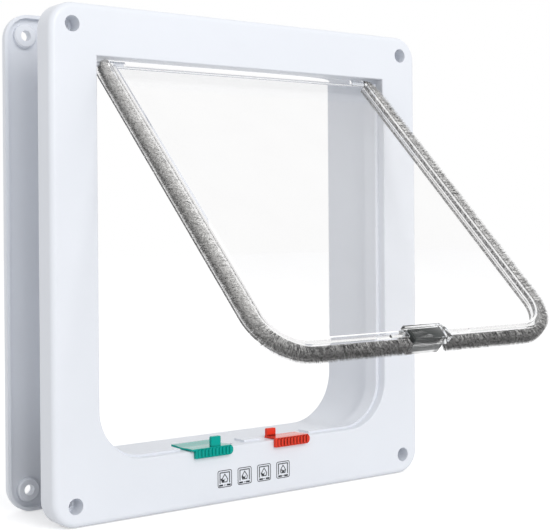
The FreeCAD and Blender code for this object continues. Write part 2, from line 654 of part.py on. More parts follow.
def make_magnet_box(name, back):
    """Half of the clear box; the front and rear halves meet in the flap's plane."""
    body = flap_body(name)
    sketch = sketch_on(body, "half_outline")
    outline(sketch, rectangle(BOX_L, FLAP_FOOT, BOX_R, BOX_TOP))
    pad(body, sketch, "half", "box_t/2", back=back)

    sign = "-" if back else ""
    brow = "(%s + box_face)" % FLAP_FOOT
    sketch = sketch_on(body, "slope_outline", "YZ_Plane")
    polygon(sketch, [(brow, sign + "(box_t/2)"), (BOX_TOP, sign + "(box_top_t/2)"),
                     (grown(BOX_TOP, "1"), sign + "(box_top_t/2)"), (grown(BOX_TOP, "1"), sign + "(box_t/2 + 1)"),
                     (brow, sign + "(box_t/2 + 1)")])
    pocket(body, sketch, "slope", "box_w + 4*(max(box_off; -box_off))", both=True)

    sketch = sketch_on(body, "magnet_outline")
    outline(sketch, rectangle("(box_off + mag_off - mag_w/2)", grown(FLAP_FOOT, "box_wall"),
                              "(box_off + mag_off + mag_w/2)", grown(FLAP_FOOT, "box_wall + mag_h")))
    pocket(body, sketch, "magnet_seat", "mag_t/2", back=not back)

    sketch = sketch_on(body, "panel_outline")
    outline(sketch, rectangle(grown(BOX_L, "-1"), grown(CUT_EDGE, "-box_fit"), grown(BOX_R, "1"), grown(BOX_TOP, "1")))
    pocket(body, sketch, "panel_seat", "panel_t/2 + box_fit", back=not back)
    if back:
        sketch = sketch_on(body, "notch_outline")
        outline(sketch, rectangle("(%s - notch_w)" % BOX_R, grown(FLAP_FOOT, "-1"), grown(BOX_R, "1"), TAB_LINE))
        pocket(body, sketch, "tab_notch", "box_t", back=not back)
    return body


def make_flap_magnet():
    body = flap_body("flap_magnet")
    sketch = sketch_on(body, "magnet_outline")
    outline(sketch, rectangle("(box_off + mag_off - mag_w/2)", grown(FLAP_FOOT, "box_wall"),
                              "(box_off + mag_off + mag_w/2)", grown(FLAP_FOOT, "box_wall + mag_h")))
    pad(body, sketch, "bar", "mag_t", both=True)
    return body


# Each slider is drawn from the middle of its grip, in the plane of the front face, at
# the height of the sill: sketch X runs back into the tunnel, sketch Y is up.

def plate_profile(deep, second_rise):
    """The slide plate's wavy section, over the sill's edge and down onto the sill."""
    dip = "(band_dip - band_t)"
    start, flat = "wave_start", "(wave_start + wave_run)"
    front = "(-grip_t - grip_gap)"
    points = [(front, "(grip_up - band_t)"), (front, "grip_up"), (start, "grip_up"), (flat, "band_dip")]
    if second_rise:
        rise = "(wave_start + wave_run + wave_flat)"
        top = "(wave_start + 2*wave_run + wave_flat)"
        crest = "(band_dip + band_t/3)"
        points += [(rise, "band_dip"), (top, crest), (deep, crest), (deep, "(%s - band_t)" % crest),
                   (top, "(%s - band_t)" % crest), (rise, dip)]
    else:
        points += [(deep, "band_dip"), (deep, dip)]
    points += [(flat, dip), ("(%s - band_t/6)" % start, "(grip_up - band_t)")]
    return points


def make_slider(name, middle, deep, more, second_rise, tab_x, tab_back, tab_high):
    body = body_named(name, base=(middle, "-rim_depth", SILL))
    sketch = sketch_on(body, "plate_section", "YZ_Plane", lift="-band_w/2 - " + more)
    polygon(sketch, plate_profile(deep, second_rise))
    pad(body, sketch, "plate", "band_w + " + more)

    sketch = sketch_on(body, "grip_outline", "XZ_Plane", lift="grip_gap")
    half = "(grip_w/2)"
    outline(sketch, [("-" + half, "-grip_down", "0"), (half, "-grip_down", "grip_r"), (half, "grip_up", "grip_r"),
                     ("-" + half, "grip_up", "0")])
    pad(body, sketch, "grip", "grip_t")
    add_grip_ribs(body)

    sketch = sketch_on(body, "tab_outline", "XZ_Plane", lift="-(%s)" % tab_back)
    left, right = "(%s - tab_w/2)" % tab_x, "(%s + tab_w/2)" % tab_x
    outline(sketch, [(left, "(band_dip - band_t/2)", "0"), (right, "(band_dip - band_t/2)", "0"),
                     (right, tab_high, "tab_r"), (left, tab_high, "tab_r")])
    pad(body, sketch, "tab", "tab_t")
    add_foot(body)
    return body


def add_grip_ribs(body):
    """A row of upright ribs across the grip."""
    sketch = sketch_on(body, "rib_section", lift="-grip_down + grip_rib_r")
    circle(sketch, "(-grip_w/2 + grip_rib_end)", "(-grip_t - grip_gap)", "grip_rib_r")
    rib = pad(body, sketch, "grip_rib", "grip_down + grip_up - 2*grip_rib_r")
    row = body.newObject("PartDesign::LinearPattern", "grip_ribs")
    row.Originals = [rib]
    row.Direction = (origin_part(body, "X_Axis"), [""])
    bind(row, "Length", "grip_w - 2*grip_rib_end")
    bind(row, "Occurrences", "grip_rib_n")
    body.Tip = row
    DOC.recompute()


def add_foot(body):
    """The neck through the slot in the sill and the foot that holds the slider down."""
    sketch = sketch_on(body, "neck_section", "YZ_Plane")
    foot_top = "(-tunnel_t - foot_gap)"
    neck_back = "(neck_front + neck_t)"
    foot_back = "(neck_front + neck_t + foot_out)"
    foot_low = "(-tunnel_t - foot_gap - foot_t)"
    polygon(sketch, [("neck_front", "(band_dip - band_t/2)"), ("neck_front", foot_top),
                     ("(neck_front - foot_out)", foot_top), ("(neck_front - foot_out)", foot_low),
                     (foot_back, foot_low), (foot_back, foot_top), (neck_back, foot_top),
                     (neck_back, "(band_dip - band_t/2)")])
    pad(body, sketch, "foot", "foot_w", both=True)


def make_hinge_pin(name, side):
    """A plain round pin through the tunnel wall and into the hinge bar."""
    pin = DOC.addObject("Part::Cylinder", name)
    pin.Label = name
    bind(pin, "Radius", "pin_r")
    bind(pin, "Height", "tunnel_t + %s - %s + pin_in" % (OPEN_X, PILE_SEAT))
    inner = "(%s - pin_in)" % PILE_SEAT
    pin.Placement = Placement(Vector(0, 0, 0), Rotation(Vector(0, 1, 0), 90))
    start = inner if side > 0 else "(-%s - tunnel_t)" % OPEN_X
    for axis, text in zip("xyz", (start, HINGE_Y, HINGE_Z)):
        bind(pin, "Placement.Base." + axis, text)
    return pin


def make_pocket_piece(name, low, height):
    """A plain oblong in the pocket under the sill."""
    block = DOC.addObject("Part::Box", name)
    block.Label = name
    bind(block, "Length", "pocket_w - 2*pocket_wall")
    bind(block, "Width", "pocket_deep - pocket_wall - face_t")
    bind(block, "Height", height)
    for axis, text in zip("xyz", ("box_off - pocket_w/2 + pocket_wall", "face_t - rim_depth", low)):
        bind(block, "Placement.Base." + axis, text)
    return block


POCKET_TOP = "(%s - tunnel_t - pocket_wall/4)" % SILL

PIECES = [
    make_front_frame(),
    make_rear_frame(),
    make_flap_panel(),
    make_pile("pile_left", "-"),
    make_pile("pile_right", ""),
    make_magnet_box("magnet_box_front", False),
    make_magnet_box("magnet_box_rear", True),
    make_flap_magnet(),
    make_slider("green_lock", "green_x", "green_deep", "green_more", True, "green_tab_x", "green_tab_back", "tab_top"),
    make_slider("red_lock", "red_x", "red_deep", "0", False, "red_tab_x", "red_tab_back", "(tab_top - red_tab_low)"),
    make_hinge_pin("hinge_pin_left", -1),
    make_hinge_pin("hinge_pin_right", 1),
    make_pocket_piece("frame_magnet", "%s - keeper_h" % POCKET_TOP, "keeper_h"),
    make_pocket_piece("magnet_cover", "%s - keeper_h - cover_t" % POCKET_TOP, "cover_t"),
]

DOC.recompute()
for item in DOC.Objects:
    if "Invalid" in item.State or "Error" in item.State:
        raise RuntimeError("failed: " + item.Label)
for piece in PIECES:
    if piece.Shape.isNull() or not piece.Shape.isValid() or not piece.Shape.Solids:
        raise RuntimeError("bad shape: " + piece.Label)

os.makedirs("parts", exist_ok=True)
for piece in PIECES:
    piece.Shape.exportStep("parts/%s.step" % piece.Label)
    box = piece.Shape.BoundBox
    print("%-18s %9.1f mm3  %d solid  x %.2f..%.2f  y %.2f..%.2f  z %.2f..%.2f" % (
        piece.Label, piece.Shape.Volume, len(piece.Shape.Solids),
        box.XMin, box.XMax, box.YMin, box.YMax, box.ZMin, box.ZMax))
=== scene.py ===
import math
import random

import bmesh
import bpy
from mathutils import Matrix, Vector, noise


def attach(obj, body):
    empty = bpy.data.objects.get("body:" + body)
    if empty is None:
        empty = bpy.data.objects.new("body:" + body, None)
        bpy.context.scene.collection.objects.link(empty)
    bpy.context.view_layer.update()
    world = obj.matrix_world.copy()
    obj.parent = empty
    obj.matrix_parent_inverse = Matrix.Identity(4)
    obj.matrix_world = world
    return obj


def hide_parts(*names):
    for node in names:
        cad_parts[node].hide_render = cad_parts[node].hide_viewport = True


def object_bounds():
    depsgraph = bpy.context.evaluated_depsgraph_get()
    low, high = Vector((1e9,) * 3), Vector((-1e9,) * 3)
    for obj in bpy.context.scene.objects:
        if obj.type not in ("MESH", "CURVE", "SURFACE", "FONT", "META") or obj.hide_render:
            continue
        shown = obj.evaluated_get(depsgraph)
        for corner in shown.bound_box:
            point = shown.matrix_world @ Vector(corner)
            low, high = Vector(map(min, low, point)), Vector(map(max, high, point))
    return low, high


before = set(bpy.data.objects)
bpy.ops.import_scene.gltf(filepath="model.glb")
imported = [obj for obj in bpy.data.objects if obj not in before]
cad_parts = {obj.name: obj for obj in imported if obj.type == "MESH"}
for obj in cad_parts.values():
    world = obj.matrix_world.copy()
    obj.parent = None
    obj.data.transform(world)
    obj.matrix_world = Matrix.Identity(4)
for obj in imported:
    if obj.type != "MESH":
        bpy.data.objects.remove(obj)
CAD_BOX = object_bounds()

# The looks of the cat flap. Everything is in metres, in the CAD model's own frame:
# X to the right seen from the front, Y through the door to the back, Z up, origin in
# the plane of the front rim, midway between the four screw holes.

MM = 0.001
SCENE = bpy.context.scene
SCENE.view_settings.view_transform = "Standard"

# Sizes that the pieces made here share with the solids, in millimetres.
FACE_Y = -13.0
HINGE = Vector((0, -6.0, 97.0))
FLAP_ANGLE = 46.2
FLAP_X = 88.0
FLAP_FOOT = -191.3
FLAP_R = 23.0
PILE_DEEP = 5.8
PILE_HALF_N = 2.5
PILE_TOP = 1.0
BOX_LEFT = -11.9
BOX_RIGHT = 10.7

# How the solids' meshes are smoothed.
WELD_REACH = 0.002 * MM
SHARP_ANGLE = math.radians(28)
BOX_EDGE_R = 0.3 * MM

# How the moulded and the clear plastics behave.
GLOSS_SPREAD = 0.12
# How far away a wall may be and still darken the colour with painted groove shade.
GROOVE_SHADE_REACH = 1.2 * MM
MOST_TURNS = 2.5


# Materials

def nodes_of(name):
    """A new material with one Principled shader, and the means to add nodes to it."""
    material = bpy.data.materials.new(name)
    material.use_nodes = True
    tree = material.node_tree
    shader = next(n for n in tree.nodes if n.type == "BSDF_PRINCIPLED")
    return material, tree, shader


def texture(tree, kind, scale, detail=2.0):
    """A procedural texture in the frame's own metres."""
    place = tree.nodes.new("ShaderNodeTexCoord")
    cloud = tree.nodes.new(kind)
    cloud.inputs["Scale"].default_value = scale
    if "Detail" in cloud.inputs:
        cloud.inputs["Detail"].default_value = detail
    tree.links.new(place.outputs["Object"], cloud.inputs["Vector"])
    return cloud


def ramp(tree, source, stops):
    """A colour ramp driven by a texture; stops are (position, colour)."""
    node = tree.nodes.new("ShaderNodeValToRGB")
    tree.links.new(source, node.inputs["Fac"])
    band = node.color_ramp
    while len(band.elements) < len(stops):
        band.elements.new(0.5)
    for element, (position, colour) in zip(band.elements, stops):
        element.position = position
        element.color = (*colour, 1.0)
    return node.outputs["Color"]


def spread(tree, source, low, high):
    """A texture's middle range stretched between two values."""
    node = tree.nodes.new("ShaderNodeMapRange")
    node.inputs["From Min"].default_value = 0.3
    node.inputs["From Max"].default_value = 0.7
    node.inputs["To Min"].default_value = low
    node.inputs["To Max"].default_value = high
    tree.links.new(source, node.inputs["Value"])
    return node.outputs["Result"]


def bump(tree, shader, source, strength, depth):
    node = tree.nodes.new("ShaderNodeBump")
    node.inputs["Strength"].default_value = strength
    node.inputs["Distance"].default_value = depth
    tree.links.new(source, node.inputs["Height"])
    tree.links.new(node.outputs["Normal"], shader.inputs["Normal"])


def shine_on_top(tree, shader, side, top):
    """A gloss that is stronger on level faces than on upright ones."""
    way = tree.nodes.new("ShaderNodeNewGeometry")
    parts = tree.nodes.new("ShaderNodeSeparateXYZ")
    tree.links.new(way.outputs["Normal"], parts.inputs[0])
    level = tree.nodes.new("ShaderNodeMapRange")
    level.inputs["From Min"].default_value = 0.6
    level.inputs["From Max"].default_value = 0.95
    level.inputs["To Min"].default_value = side
    level.inputs["To Max"].default_value = top
    tree.links.new(parts.outputs["Z"], level.inputs["Value"])
    tree.links.new(level.outputs["Result"], shader.inputs["Specular IOR Level"])


def paint_groove_shade(tree, tint, depth):
    """Painted shade: the colour darkened towards black where nearby walls would shade it, as between the ribs
    of a grip.
    """
    shade = tree.nodes.new("ShaderNodeAmbientOcclusion")
    shade.inputs["Distance"].default_value = GROOVE_SHADE_REACH
    shade.only_local = True
    level = tree.nodes.new("ShaderNodeMapRange")
    level.inputs["From Min"].default_value = 0.55
    level.inputs["From Max"].default_value = 0.95
    level.inputs["To Min"].default_value = depth
    level.inputs["To Max"].default_value = 0.0
    tree.links.new(shade.outputs["AO"], level.inputs["Value"])
    mix = tree.nodes.new("ShaderNodeMix")
    mix.data_type = "RGBA"
    black = next(s for s in mix.inputs if s.name == "B" and s.type == "RGBA")
    black.default_value = (0.0, 0.0, 0.0, 1.0)
    tree.links.new(level.outputs["Result"], mix.inputs[0])
    colour_in = next(s for s in mix.inputs if s.name == "A" and s.type == "RGBA")
    tree.links.new(tint, colour_in)
    return next(s for s in mix.outputs if s.type == "RGBA")


def moulded(name, colour, shade, rough, gloss=0.5, top_gloss=None, groove_shade=0.0, patch=28):
    """Moulded plastic: faint flow patches in its colour, a fine grain and an uneven gloss, with painted shade
    darkening its grooves when asked for.
    """
    material, tree, shader = nodes_of(name)
    flow = texture(tree, "ShaderNodeTexNoise", patch, 3)
    tint = ramp(tree, flow.outputs["Fac"], [(0.35, tuple(c * shade for c in colour)), (0.65, colour)])
    # Painted shade: the colour is darkened in creases, between ribs.
    if groove_shade:
        tint = paint_groove_shade(tree, tint, groove_shade)
    tree.links.new(tint, shader.inputs["Base Color"])
    skin = texture(tree, "ShaderNodeTexNoise", 1400, 4)
    uneven = spread(tree, skin.outputs["Fac"], rough * (1 - GLOSS_SPREAD), rough * (1 + GLOSS_SPREAD))
    tree.links.new(uneven, shader.inputs["Roughness"])
    bump(tree, shader, skin.outputs["Fac"], 0.35, 0.03 * MM)
    shader.inputs["Specular IOR Level"].default_value = gloss
    if top_gloss is not None:
        shine_on_top(tree, shader, gloss, top_gloss)
    return material


def clear_plastic(name, ior, dark, pale, leak_share):
    """Clear moulded plastic with the faintest waviness and a trace of grey.

    Light that is trapped between its walls leaks out after a few turns instead of going black.
    """
    material, tree, shader = nodes_of(name)
    flow = texture(tree, "ShaderNodeTexNoise", 35, 2)
    tint = ramp(tree, flow.outputs["Fac"], [(0.3, dark), (0.7, pale)])
    tree.links.new(tint, shader.inputs["Base Color"])
    skin = texture(tree, "ShaderNodeTexNoise", 300, 2)
    tree.links.new(spread(tree, skin.outputs["Fac"], 0.01, 0.035), shader.inputs["Roughness"])
    bump(tree, shader, flow.outputs["Fac"], 0.1, 0.2 * MM)
    shader.inputs["IOR"].default_value = ior
    shader.inputs["Transmission Weight"].default_value = 1.0
    let_trapped_light_out(tree, shader, leak_share)
    return material


def let_trapped_light_out(tree, shader, leak_share):
    """Light reflected more often than MOST_TURNS passes straight on, dimmed to leak_share."""
    path = tree.nodes.new("ShaderNodeLightPath")
    trapped = tree.nodes.new("ShaderNodeMath")
    trapped.operation = "GREATER_THAN"
    trapped.inputs[1].default_value = MOST_TURNS
    tree.links.new(path.outputs["Glossy Depth"], trapped.inputs[0])
    leak = tree.nodes.new("ShaderNodeBsdfTransparent")
    leak.inputs["Color"].default_value = (leak_share, leak_share, leak_share, 1)
    either = tree.nodes.new("ShaderNodeMixShader")
    tree.links.new(trapped.outputs[0], either.inputs[0])
    tree.links.new(shader.outputs[0], either.inputs[1])
    tree.links.new(leak.outputs[0], either.inputs[2])
    out = next(n for n in tree.nodes if n.type == "OUTPUT_MATERIAL")
    tree.links.new(either.outputs[0], out.inputs["Surface"])


def pile_fibre(name, dark, middle, pale):
    """Grey brush pile: flecks of light and dark fibre, fully rough, with a soft sheen."""
    material, tree, shader = nodes_of(name)
    fleck = texture(tree, "ShaderNodeTexNoise", 1000, 3)
    tone = ramp(tree, fleck.outputs["Fac"], [(0.37, dark), (0.5, middle), (0.61, pale)])
    tree.links.new(tone, shader.inputs["Base Color"])
    tree.links.new(spread(tree, fleck.outputs["Fac"], 0.6, 0.85), shader.inputs["Roughness"])
    shader.inputs["Sheen Weight"].default_value = 0.25
    shader.inputs["Sheen Roughness"].default_value = 0.5
    return material


def sintered():
    """Dark ferrite with a sandy grain."""
    material, tree, shader = nodes_of("ferrite")
    grain = texture(tree, "ShaderNodeTexNoise", 1800, 4)
    tone = ramp(tree, grain.outputs["Fac"], [(0.35, (0.026, 0.03, 0.03)), (0.65, (0.055, 0.061, 0.06))])
    tree.links.new(tone, shader.inputs["Base Color"])
    tree.links.new(spread(tree, grain.outputs["Fac"], 0.45, 0.7), shader.inputs["Roughness"])
    bump(tree, shader, grain.outputs["Fac"], 0.5, 0.04 * MM)
    shader.inputs["Specular IOR Level"].default_value = 0.1
    return material


WHITE = moulded("white_plastic", (0.80, 0.825, 0.875), shade=0.985, rough=0.36)
CLEAR = clear_plastic("clear_plastic", 1.42, (0.955, 0.953, 0.953), (0.97, 0.968, 0.968), leak_share=1.0)
CLEAR_BOX = clear_plastic("clear_box", 1.3, (0.9, 0.905, 0.905), (0.94, 0.945, 0.945), leak_share=0.35)
# Three tones of fibre: the mid tone; a pale tone, which paints light on the lit front of the pile as well as
# pale flecks; and a dark tone, which paints shade along the foot as well as dark flecks.
PILE_TIPS = pile_fibre("pile_tips", (0.07, 0.069, 0.068), (0.27, 0.265, 0.262), (0.56, 0.553, 0.545))
PILE_PALE_AND_LIT = pile_fibre("pile_pale_and_lit", (0.5, 0.495, 0.485), (0.84, 0.83, 0.815), (0.95, 0.945, 0.93))
PILE_DARK_AND_SHADED = pile_fibre("pile_dark_and_shaded", (0.012, 0.012, 0.013), (0.05, 0.049, 0.05), (0.12, 0.118, 0.12))
FERRITE = sintered()
# The grips get painted shade between their ribs.
GREEN = moulded("green_plastic", (0.0, 0.38, 0.32), shade=0.9, rough=0.16,
                gloss=0.1, top_gloss=0.75, groove_shade=0.38, patch=180)
RED = moulded("red_plastic", (0.8, 0.045, 0.018), shade=0.9, rough=0.16,
              gloss=0.2, top_gloss=0.75, groove_shade=0.85, patch=180)
PRINT = moulded("dark_print", (0.03, 0.033, 0.042), shade=0.8, rough=0.5, gloss=0.3, patch=900)

NODE_LOOKS = {
    "front_frame": WHITE, "rear_frame": WHITE, "magnet_cover": WHITE,
    "flap_panel": CLEAR, "magnet_box_front": CLEAR_BOX, "magnet_box_rear": CLEAR_BOX,
    "flap_magnet": FERRITE, "frame_magnet": FERRITE,
    "hinge_pin_left": WHITE, "hinge_pin_right": WHITE,
    "green_lock": GREEN, "red_lock": RED,
}


def soften_edges(solid):
    """Small roundings on a clear piece's edges, which catch the light."""
    edges = solid.modifiers.new("edges", "BEVEL")
    edges.width = BOX_EDGE_R
    edges.segments = 2
    edges.limit_method = "ANGLE"
    edges.angle_limit = SHARP_ANGLE
    edges.harden_normals = True


def dress(solid, look):
    """A CAD solid with its material and with smooth curves between its sharp edges."""
    solid.data.materials.clear()
    solid.data.materials.append(look)
    for face in solid.data.polygons:
        face.use_smooth = True
    weld = solid.modifiers.new("weld", "WELD")
    weld.merge_threshold = WELD_REACH
    if look is CLEAR_BOX:
        soften_edges(solid)
    split = solid.modifiers.new("split", "EDGE_SPLIT")
    split.split_angle = SHARP_ANGLE
    if look in (CLEAR, CLEAR_BOX):
        solid.visible_shadow = False
        solid.visible_diffuse = False


for node, node_look in NODE_LOOKS.items():
    dress(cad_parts[node], node_look)


# Shapes

def piece(name, points, faces, material):
    """A mesh object with flat faces from points in metres."""
    mesh = bpy.data.meshes.new(name)
    mesh.from_pydata([tuple(p) for p in points], [], faces)
    mesh.update()
    mesh.materials.append(material)
    for face in mesh.polygons:
        face.use_smooth = False
    made = bpy.data.objects.new(name, mesh)
    SCENE.collection.objects.link(made)
    return made


FLAP_PLACE = Matrix.Translation(HINGE) @ Matrix.Rotation(math.radians(90 - FLAP_ANGLE), 4, "X")


def on_flap(x, y, n):
    """A point in the flap's own plane, hinge at 0 and foot towards -Y, to the frame's metres."""
    return (FLAP_PLACE @ Vector((x, y, n))) * MM


# The pile, in millimetres.
TOP_ROUNDING = 2.6
HINGE_RUN = 14.0
CORE_STEP = 1.2
CORE_SECTION = [(0.4, -2.0), (4.2, -2.1), (4.8, -1.4), (4.95, 0.0), (4.8, 1.4), (4.2, 2.1), (0.4, 2.0)]
EDGE_ROWS = 0.72
EDGE_ROOT = 0.8
INNER_ROOT = 3.4
REAR_REACH = -4.7
FRONT_REACH = 3.9
FIBRES = 34000


class PileLine:
    """The line that a length of pile follows, from its top end to the magnet box."""

    def __init__(self, side, box_side):
        self.side = side
        self.corner_x = FLAP_X - FLAP_R
        self.corner_y = FLAP_FOOT + FLAP_R
        self.seat_r = FLAP_R - PILE_DEEP
        self.drop = PILE_TOP - self.corner_y
        self.turn = self.seat_r * math.pi / 2
        foot = self.corner_x - side * box_side
        self.length = self.drop + self.turn + foot

    def at(self, along, height):
        """The point at a distance along the seat and a height above it."""
        if along < self.drop:
            x, y, way = FLAP_X - PILE_DEEP, PILE_TOP - along, (1.0, 0.0)
        elif along < self.drop + self.turn:
            angle = (along - self.drop) / self.seat_r
            way = (math.cos(angle), -math.sin(angle))
            x = self.corner_x + self.seat_r * way[0]
            y = self.corner_y + self.seat_r * way[1]
        else:
            x = self.corner_x - (along - self.drop - self.turn)
            y, way = FLAP_FOOT + PILE_DEEP, (0.0, -1.0)
        return self.side * (x + way[0] * height), y + way[1] * height

    def to_foot(self, along):
        """0 along the side, 1 along the foot, between them round the corner."""
        return max(0.0, min(1.0, (along - self.drop) / self.turn))

    def from_hinge(self, along):
        """0 at the top end, 1 once the pile is clear of the hinge."""
        return min(1.0, along / HINGE_RUN)

    def base(self, along):
        """How high above the seat the pile shows: it sits a little prouder along the foot."""
        return 0.4 + 2.0 * self.to_foot(along)

    def longer(self, along):
        """How far the fibres pass the solid's line: least by the hinge, most at the foot."""
        return 0.2 + 0.75 * self.from_hinge(along) + 0.35 * self.to_foot(along)

    def bent_back(self, along):
        """How far the tips lean to the rear: the sill bends them along the foot."""
        return 0.8 * self.to_foot(along)

    def dark_and_shaded_share(self, along):
        """The share of dark fibres: a few dark flecks everywhere, and more along the foot as painted shade.
        """
        return 0.06 + 0.26 * self.to_foot(along)

    def fan(self, along, n):
        """How much the fibres fan out towards their tips, least by the hinge and at the foot's front."""
        held_back = 0.3 * self.to_foot(along) if n > 0 else 0.0
        return 1.05 + 0.5 * self.from_hinge(along) - held_back

    def pale_and_lit_share(self, along, n):
        """Pale flecks and painted light: the share of pale fibres, high at the lit front of the left side,
        lower on the right side, and low along the foot, where it paints shade.
        """
        front = (n + PILE_HALF_N) / (2 * PILE_HALF_N)
        if self.side < 0:
            side_share = 0.1 + 0.86 * max(0.0, min(1.0, 2.2 * front - 0.5))
        else:
            # Painted shade: the right side gets fewer pale fibres than the left.
            side_share = 0.24 + 0.2 * front
        foot_share = 0.1 * front * front
        return side_share + (foot_share - side_share) * self.to_foot(along)

    def fullness(self, along):
        """1 along the pile, less at its rounded top end."""
        short = max(0.0, 1 - along / TOP_ROUNDING)
        return math.sqrt(max(0.0, 1 - short * short))


def clump(along, n, seed):
    """How a tuft leans at a place: smooth noise a few millimetres across."""
    place = Vector((along * 0.7, n * 0.8, seed))
    return noise.noise(place), noise.noise(place + Vector((31.7, 5.1, 11.9)))


def pile_core(line, seed):
    """The soft body that the fibres stand on."""
    points, faces = [], []
    steps = int(line.length / CORE_STEP)
    for i in range(steps + 1):
        along = 0.3 + (line.length - 0.4) * i / steps
        for height, n in CORE_SECTION:
            lift = 0.25 * noise.noise(Vector((along * 0.8, n, seed))) if height > 3 else 0.0
            x, y = line.at(along, max(height + lift, line.base(along)) * line.fullness(along))
            points.append(on_flap(x, y, n))
    ring = len(CORE_SECTION)
    for i in range(steps):
        for k in range(ring):
            a, b = i * ring + k, i * ring + (k + 1) % ring
            faces.append((a, b, b + ring, a + ring))
    faces.append(tuple(range(ring))[::-1])
    faces.append(tuple(steps * ring + k for k in range(ring)))
    return points, faces


def fibre(line, rng, seed):
    """One tapered fibre: three points round its root, its tip, and the number of its material."""
    along = rng.uniform(0.05, line.length - 0.05)
    n = rng.uniform(-PILE_HALF_N, PILE_HALF_N)
    edge = abs(n) / PILE_HALF_N
    root = line.base(along) + EDGE_ROOT if edge > EDGE_ROWS else INNER_ROOT
    lean_a, lean_n = clump(along, n, seed)
    tip = PILE_DEEP + line.longer(along) - 0.25 * edge ** 5 + 0.12 * lean_n - abs(rng.gauss(0, 0.25))
    tip = root + (tip - root) * line.fullness(along)
    drift = 0.25 * lean_a + rng.gauss(0, 0.35)
    tip_n = n * line.fan(along, n) - line.bent_back(along) + 0.2 * lean_n + rng.gauss(0, 0.25)
    tip_n = max(REAR_REACH, min(FRONT_REACH, tip_n))
    tip_along = min(line.length + 0.15, max(0.0, along + drift))
    thick = rng.uniform(0.08, 0.16)
    spin = rng.uniform(0, math.tau)
    pick = rng.random()
    # Which tone a fibre gets: pale where light is painted, dark where shade is painted, otherwise the mid
    # tone.
    look = 1 if pick < line.pale_and_lit_share(along, n) else 2 if pick > 1 - line.dark_and_shaded_share(along) else 0

    seat = root * line.fullness(along)
    x0, y0 = line.at(along, seat)
    ahead = line.at(min(line.length, along + 0.05), seat)
    step = Vector((ahead[0] - x0, ahead[1] - y0, 0))
    step = step.normalized() if step.length > 1e-6 else Vector((0, 1, 0))
    points = []
    for k in range(3):
        turn = spin + k * math.tau / 3
        aside = step * (thick * math.cos(turn))
        points.append(on_flap(x0 + aside.x, y0 + aside.y, n + thick * math.sin(turn)))
    x1, y1 = line.at(tip_along, tip)
    points.append(on_flap(x1, y1, tip_n))
    return points, look


def pile_brush(name, node, side, box_side, seed):
    """A length of brush pile: a soft core and thousands of tapered fibres standing on it."""
    line = PileLine(side, box_side)
    rng = random.Random(seed)
    points, faces = pile_core(line, seed)
    looks = [0] * len(faces)
    for _ in range(FIBRES):
        start = len(points)
        fibre_points, look = fibre(line, rng, seed)
        points += fibre_points
        for k in range(3):
            faces.append((start + k, start + (k + 1) % 3, start + 3))
            looks.append(look)
    # Slots: mid tone, pale tone with painted light, dark tone with painted shade.
    brush = piece(name, points, faces, PILE_TIPS)
    brush.data.materials.append(PILE_PALE_AND_LIT)
    brush.data.materials.append(PILE_DARK_AND_SHADED)
    for face, look in zip(brush.data.polygons, looks):
        face.material_index = look
    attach(brush, "flap")
    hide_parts(node)


pile_brush("brush_left", "pile_left", -1, BOX_LEFT, 11)
pile_brush("brush_right", "pile_right", 1, BOX_RIGHT, 23)


# The four small icons printed on the sill of the front frame.

ICON_Y = (FACE_Y - 0.05) * MM
ICON_Z = -112.2
ICON_SIZE = 8.9
INK_THICK = 0.06 * MM


def print_shape(bm, loops, centre):
    """Flat printed ink: closed loops of (x, z) in millimetres about the icon's centre."""
    for loop in loops:
        ring = []
        for x, z in loop:
            ring.append(bm.verts.new(((centre + x) * MM, ICON_Y, (ICON_Z + z) * MM)))
        bm.faces.new(ring)


def stroke(path, width, closed=True):
    """A line of even width along a path, as a chain of four-cornered loops."""
    loops = []
    count = len(path)
    sides = []
    for i in range(count):
        before = Vector(path[i - 1]) if closed or i > 0 else Vector(path[i])
        after = Vector(path[(i + 1) % count]) if closed or i < count - 1 else Vector(path[i])
        here = Vector(path[i])
        way_in = (here - before).normalized() if (here - before).length > 0 else (after - here).normalized()
        way_out = (after - here).normalized() if (after - here).length > 0 else way_in
        middle = (way_in + way_out).normalized()
        across = Vector((-middle.y, middle.x))
        reach = width / 2 / max(0.5, middle.dot(way_out))
        sides.append((here + across * reach, here - across * reach))
    for i in range(count if closed else count - 1):
        a, b = sides[i], sides[(i + 1) % count]
        loops.append([tuple(a[0]), tuple(a[1]), tuple(b[1]), tuple(b[0])])
    return loops


def rounded(half_w, half_h, radius, steps=5):
    """The outline of an oblong with round corners."""
    path = []
    for cx, cz, start in ((1, 1, 0), (-1, 1, 90), (-1, -1, 180), (1, -1, 270)):
        for k in range(steps + 1):
            angle = math.radians(start + 90 * k / steps)
            path.append((cx * (half_w - radius) + radius * math.cos(angle),
                         cz * (half_h - radius) + radius * math.sin(angle)))
    return path


def disc(x, z, radius_x, radius_z, steps=12):
    """The outline of an oval."""
    return [(x + radius_x * math.cos(math.tau * k / steps), z + radius_z * math.sin(math.tau * k / steps))
            for k in range(steps)]


def small_animal(x, z, size, way):
    """A plain four-legged figure: body, head, two ears, legs and a tail."""
    head = x + way * 0.95 * size
    shapes = [disc(x, z, 0.95 * size, 0.5 * size), disc(head, z + 0.55 * size, 0.42 * size, 0.4 * size)]
    for shift in (-0.28, 0.28):
        base = head + shift * size
        shapes.append([(base - 0.16 * size, z + 0.8 * size), (base + 0.16 * size, z + 0.8 * size),
                       (base, z + 1.2 * size)])
    for leg in (-0.65, -0.35, 0.4, 0.7):
        shapes.append([(x + (leg - 0.12) * size, z - 0.95 * size), (x + (leg + 0.12) * size, z - 0.95 * size),
                       (x + (leg + 0.12) * size, z), (x + (leg - 0.12) * size, z)])
    tail = [(x - way * 0.85 * size, z + 0.1 * size), (x - way * 1.25 * size, z + 0.45 * size),
            (x - way * 1.2 * size, z + 0.95 * size)]
    return shapes + stroke(tail, 0.2 * size, closed=False)


